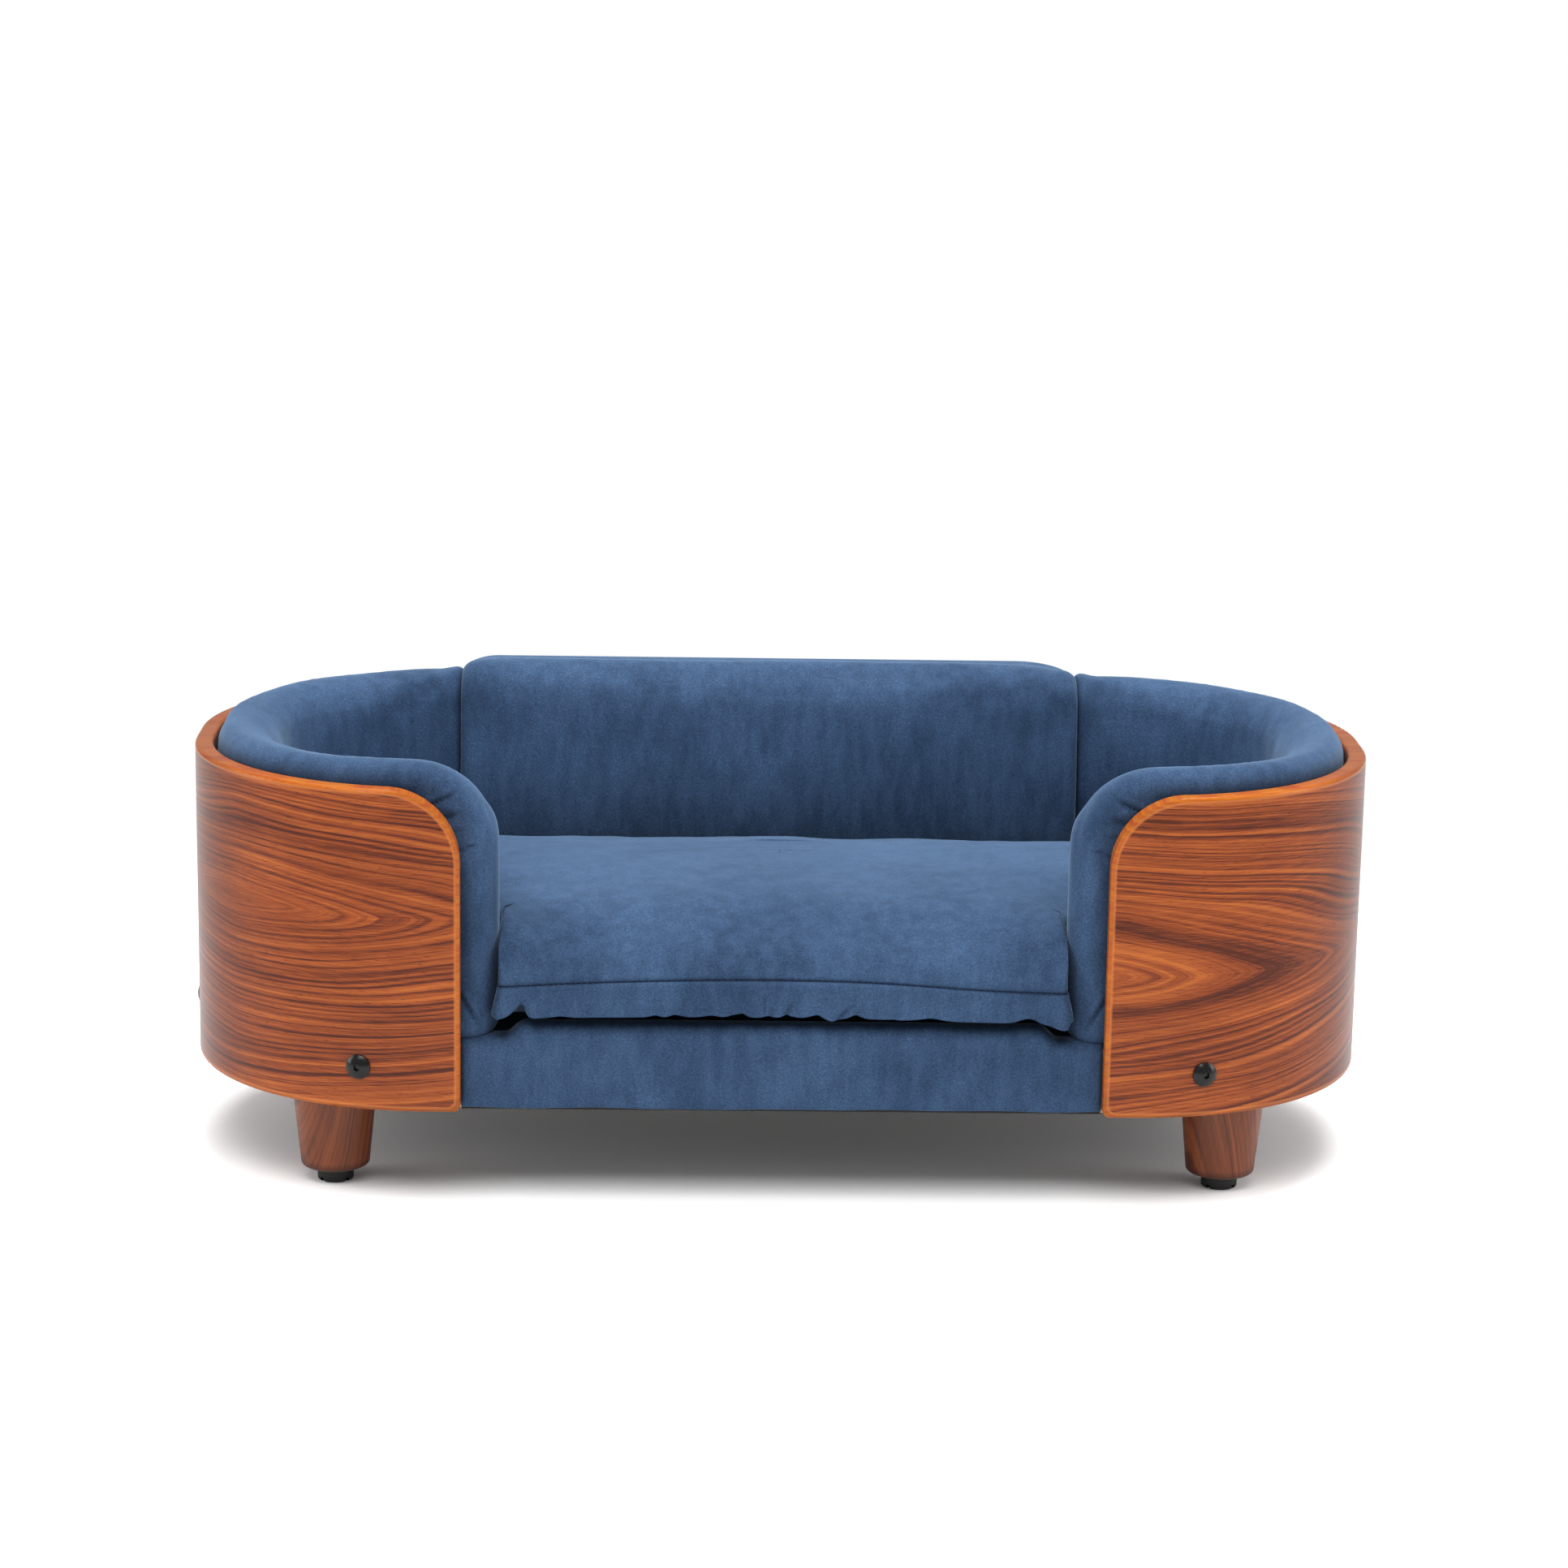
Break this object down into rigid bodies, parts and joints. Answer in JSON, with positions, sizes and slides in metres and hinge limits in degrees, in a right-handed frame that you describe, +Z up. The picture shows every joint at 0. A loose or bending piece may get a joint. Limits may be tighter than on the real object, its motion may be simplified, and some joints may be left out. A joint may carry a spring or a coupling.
{
  "type": "dog sofa bed",
  "caption": "Small dog sofa: two bent-plywood end shells bolted to an upholstered base, curved arm pads, taller back pad, lift-off seat cushion, turned legs on screw-in feet.",
  "frame": {"origin": "on the floor under the middle of the sofa", "axes": "+X to the right seen from the front, +Y to the back, +Z up"},
  "size_m": [0.7676, 0.34, 0.3],
  "materials": {
    "veneer": "satin lacquered rosewood-coloured veneer",
    "leg_wood": "satin stained hardwood",
    "raw_ply": "raw plywood and softwood",
    "blue_cloth": "suede-like microfibre",
    "black_cloth": "non-woven dust cloth",
    "foam": "upholstery foam",
    "black_plastic": "moulded",
    "black_steel": "black oxide",
    "zinc": "zinc plated"
  },
  "bodies": {
    "sofa": {"shell_left": "veneer", "shell_right": "veneer", "end_rib_left": "raw_ply", "end_rib_right": "raw_ply", "front_rail": "raw_ply", "rear_rail": "raw_ply", "cross_batten": "raw_ply", "deck_board": "raw_ply", "deck_cloth": "blue_cloth", "front_apron": "blue_cloth", "dust_cover": "black_cloth", "back_board": "raw_ply", "back_pad": "blue_cloth", "rear_cloth": "blue_cloth", "arm_pad_left": "blue_cloth", "arm_pad_right": "blue_cloth", "pad_liner_left": "raw_ply", "pad_liner_right": "raw_ply", "pad_studs_left": "black_plastic", "pad_studs_right": "black_plastic", "leg_front_left": "leg_wood", "leg_front_right": "leg_wood", "leg_rear_left": "leg_wood", "leg_rear_right": "leg_wood", "foot_inserts": "zinc", "hanger_bolts": "zinc", "leg_tee_nuts": "zinc", "shell_bolts_left": "black_steel", "shell_bolts_right": "black_steel", "shell_inserts_left": "zinc", "shell_inserts_right": "zinc", "deck_screws": "zinc", "back_screws": "zinc"},
    "seat_cushion": {"seat_cover": "blue_cloth", "seat_foam": "foam", "seat_underside": "black_cloth"},
    "foot_front_left": {"foot_front_left": "black_plastic"},
    "foot_front_right": {"foot_front_right": "black_plastic"},
    "foot_rear_left": {"foot_rear_left": "black_plastic"},
    "foot_rear_right": {"foot_rear_right": "black_plastic"}
  },
  "joints": [
    {"name": "seat_lift", "type": "slide", "parent": "sofa", "child": "seat_cushion", "axis": [0, 0, 1], "range_m": [0, 0.25]},
    {"name": "foot_front_left_screw", "type": "slide", "parent": "sofa", "child": "foot_front_left", "axis": [0, 0, -1], "range_m": [0, 0.008]},
    {"name": "foot_front_right_screw", "type": "slide", "parent": "sofa", "child": "foot_front_right", "axis": [0, 0, -1], "range_m": [0, 0.008]},
    {"name": "foot_rear_left_screw", "type": "slide", "parent": "sofa", "child": "foot_rear_left", "axis": [0, 0, -1], "range_m": [0, 0.008]},
    {"name": "foot_rear_right_screw", "type": "slide", "parent": "sofa", "child": "foot_rear_right", "axis": [0, 0, -1], "range_m": [0, 0.008]}
  ]
}
